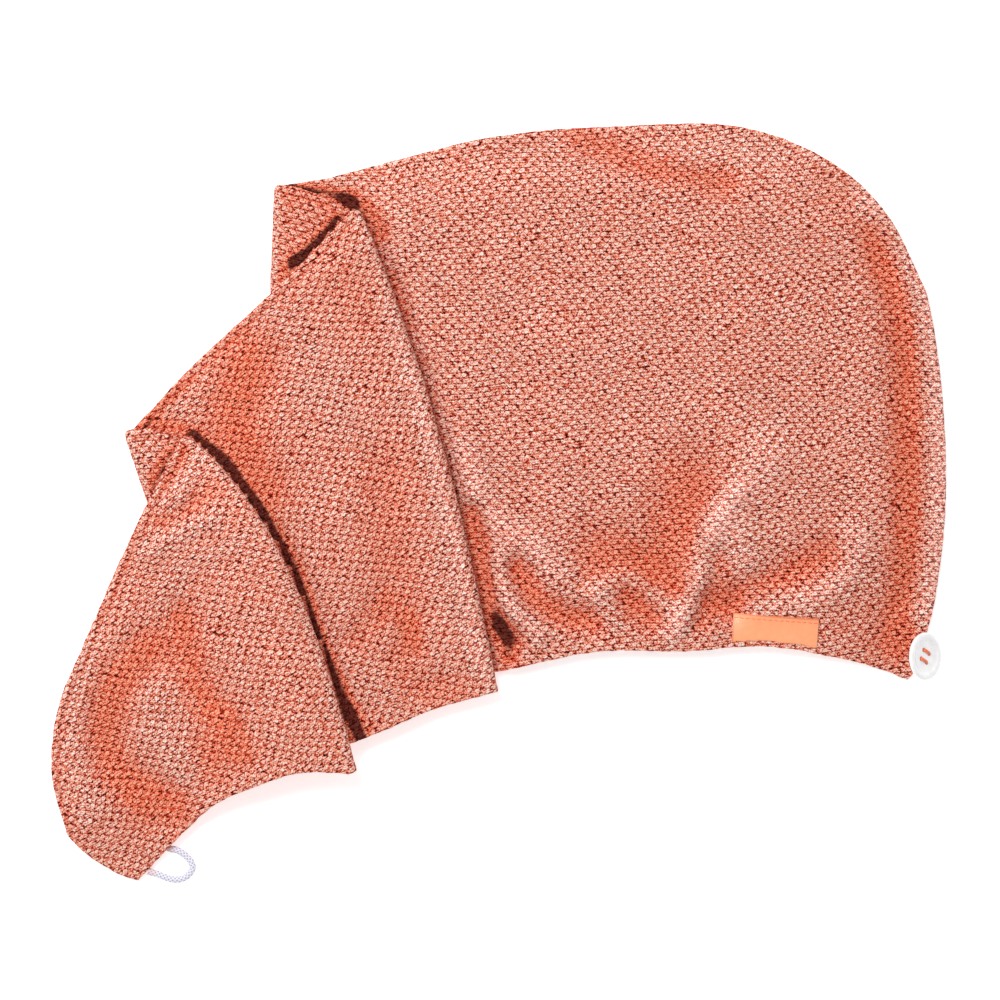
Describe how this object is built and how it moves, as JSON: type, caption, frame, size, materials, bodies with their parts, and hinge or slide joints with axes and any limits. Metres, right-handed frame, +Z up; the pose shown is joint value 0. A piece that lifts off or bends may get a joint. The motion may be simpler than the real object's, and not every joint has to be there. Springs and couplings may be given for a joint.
{
  "type": "hair turban towel",
  "caption": "Hair turban towel of pebbled towelling, laid flat with its long tail pleated over an open hood, with a corner button and an elastic tail loop.",
  "frame": {"origin": "middle of the towel's outline as it lies, on the surface that it lies on", "axes": "+X from the tail's tip side to the hood's closed end, +Y from the open hem to the crown seam, +Z up from the surface"},
  "size_m": [0.4306, 0.3653, 0.0233],
  "materials": {
    "towelling": "matt pebbled towelling, peach and dark terracotta yarns",
    "button": "glossy white",
    "thread": "orange sewing thread",
    "label": "satin ribbon",
    "elastic": "braided elastic, very pale lavender"
  },
  "bodies": {
    "root": {"front_panel": "towelling", "back_panel": "towelling", "button": "button", "button_thread": "thread", "side_label": "label", "elastic_loop": "elastic"}
  },
  "joints": []
}
